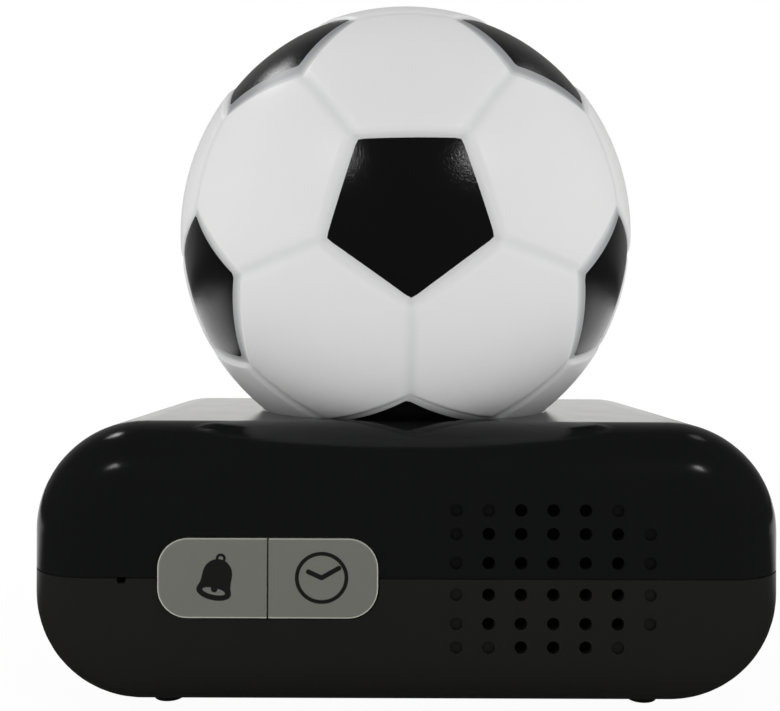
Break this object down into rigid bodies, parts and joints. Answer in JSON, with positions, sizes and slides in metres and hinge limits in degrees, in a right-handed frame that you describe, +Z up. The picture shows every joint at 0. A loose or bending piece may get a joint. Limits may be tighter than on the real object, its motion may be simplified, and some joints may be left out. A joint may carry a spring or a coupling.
{
  "type": "runaway alarm clock",
  "caption": "Football with its own drive, docked in the dish of a rounded desk base with keys, speaker grille and display; it rolls off when the alarm sounds.",
  "frame": {"origin": "on the standing surface, under the middle of the base", "axes": "+Z up through the ball's centre, -Y towards the side with keys and grille, +X to the right of it"},
  "size_m": [0.136, 0.0952, 0.1379],
  "materials": {
    "case_gloss": "polished black",
    "case_satin": "satin black",
    "key_grey": "satin grey",
    "foot_rubber": "dull black rubber",
    "ball_white": "satin white with glossy black pentagons",
    "lens_smoke": "clear smoked plastic",
    "lcd_glass": "grey-green liquid crystal",
    "light_guide": "milky",
    "frame_black": "black moulding",
    "chassis_grey": "grey moulding",
    "gear_nylon": "natural nylon",
    "board_green": "solder mask",
    "chip_black": "moulded epoxy",
    "ribbon_film": "flat film",
    "steel": "bright steel",
    "brass_turned": "turned brass",
    "magnet_dark": "ferrite and plated steel",
    "cone_paper": "black pulp",
    "cell_jacket": "plain jacket"
  },
  "bodies": {
    "base": {"upper_case": "case_gloss", "lower_case": "case_satin", "case_screws": "steel", "feet": "foot_rubber", "switch_bodies": "chip_black", "key_board": "board_green", "key_board_screws": "steel", "speaker_frame": "steel", "speaker_magnet": "magnet_dark", "speaker_cone": "cone_paper", "speaker_screws": "steel", "display_lens": "lens_smoke", "lcd_panel": "lcd_glass", "backlight_panel": "light_guide", "lcd_frame": "frame_black", "lcd_screws": "steel", "display_ribbon": "ribbon_film", "main_board": "board_green", "board_components": "chip_black", "main_board_screws": "steel", "dock_switch": "chip_black", "dock_bracket": "frame_black", "dock_screws": "steel", "base_batteries": "cell_jacket", "battery_contacts": "steel"},
    "alarm_set_button": {"alarm_set_button": "key_grey", "alarm_switch_stem": "chip_black"},
    "time_set_button": {"time_set_button": "key_grey", "time_switch_stem": "chip_black"},
    "dock_plunger": {"dock_plunger": "frame_black", "dock_switch_button": "chip_black"},
    "battery_door": {"battery_door": "case_satin"},
    "ball": {"ball_front_half": "ball_white", "ball_rear_half": "ball_white", "join_ring": "frame_black", "ball_axle": "steel", "axle_collar": "brass_turned", "fixed_gear": "gear_nylon"},
    "drive_unit": {"drive_chassis": "chassis_grey", "axle_bushes": "brass_turned", "drive_motor": "steel", "motor_screws": "steel", "idler_pin": "steel", "idler_clip": "steel", "ballast": "steel", "ballast_screws": "steel", "ball_batteries": "cell_jacket", "ball_battery_contacts": "steel", "receiver_board": "board_green", "receiver_components": "chip_black"},
    "compound_gear": {"compound_gear": "gear_nylon"},
    "motor_rotor": {"motor_shaft": "steel", "motor_pinion": "brass_turned"}
  },
  "joints": [
    {"name": "ball_lift", "type": "slide", "parent": "base", "child": "ball", "axis": [0, 0, 1], "range_m": [0, 0.06]},
    {"name": "drive_turn", "type": "hinge", "parent": "ball", "child": "drive_unit", "pos_m": [0, 0, 0.0899], "axis": [0, 1, 0], "continuous": true},
    {"name": "compound_gear_spin", "type": "hinge", "parent": "drive_unit", "child": "compound_gear", "pos_m": [0, 0, 0.07551], "axis": [0, 1, 0], "continuous": true},
    {"name": "motor_spin", "type": "hinge", "parent": "drive_unit", "child": "motor_rotor", "pos_m": [0, 0, 0.06451], "axis": [0, 1, 0], "continuous": true},
    {"name": "alarm_set_press", "type": "slide", "parent": "base", "child": "alarm_set_button", "axis": [0, 1, 0], "range_m": [0, 0.0005], "stiffness_N_per_m": 600, "springref_m": -0.0008},
    {"name": "time_set_press", "type": "slide", "parent": "base", "child": "time_set_button", "axis": [0, 1, 0], "range_m": [0, 0.0005], "stiffness_N_per_m": 600, "springref_m": -0.0008},
    {"name": "dock_plunger_press", "type": "slide", "parent": "base", "child": "dock_plunger", "axis": [0, 0, 1], "range_m": [-0.0005, 0], "stiffness_N_per_m": 150, "springref_m": 0.0013},
    {"name": "battery_door_hinge", "type": "hinge", "parent": "base", "child": "battery_door", "pos_m": [0, 0.0196, 0.0018], "axis": [1, 0, 0], "range_deg": [0, 95]}
  ],
  "couplings": [
    {"joint": "compound_gear_spin", "follows": "drive_turn", "ratio": 2.4286},
    {"joint": "motor_spin", "follows": "drive_turn", "ratio": -6.4762}
  ]
}
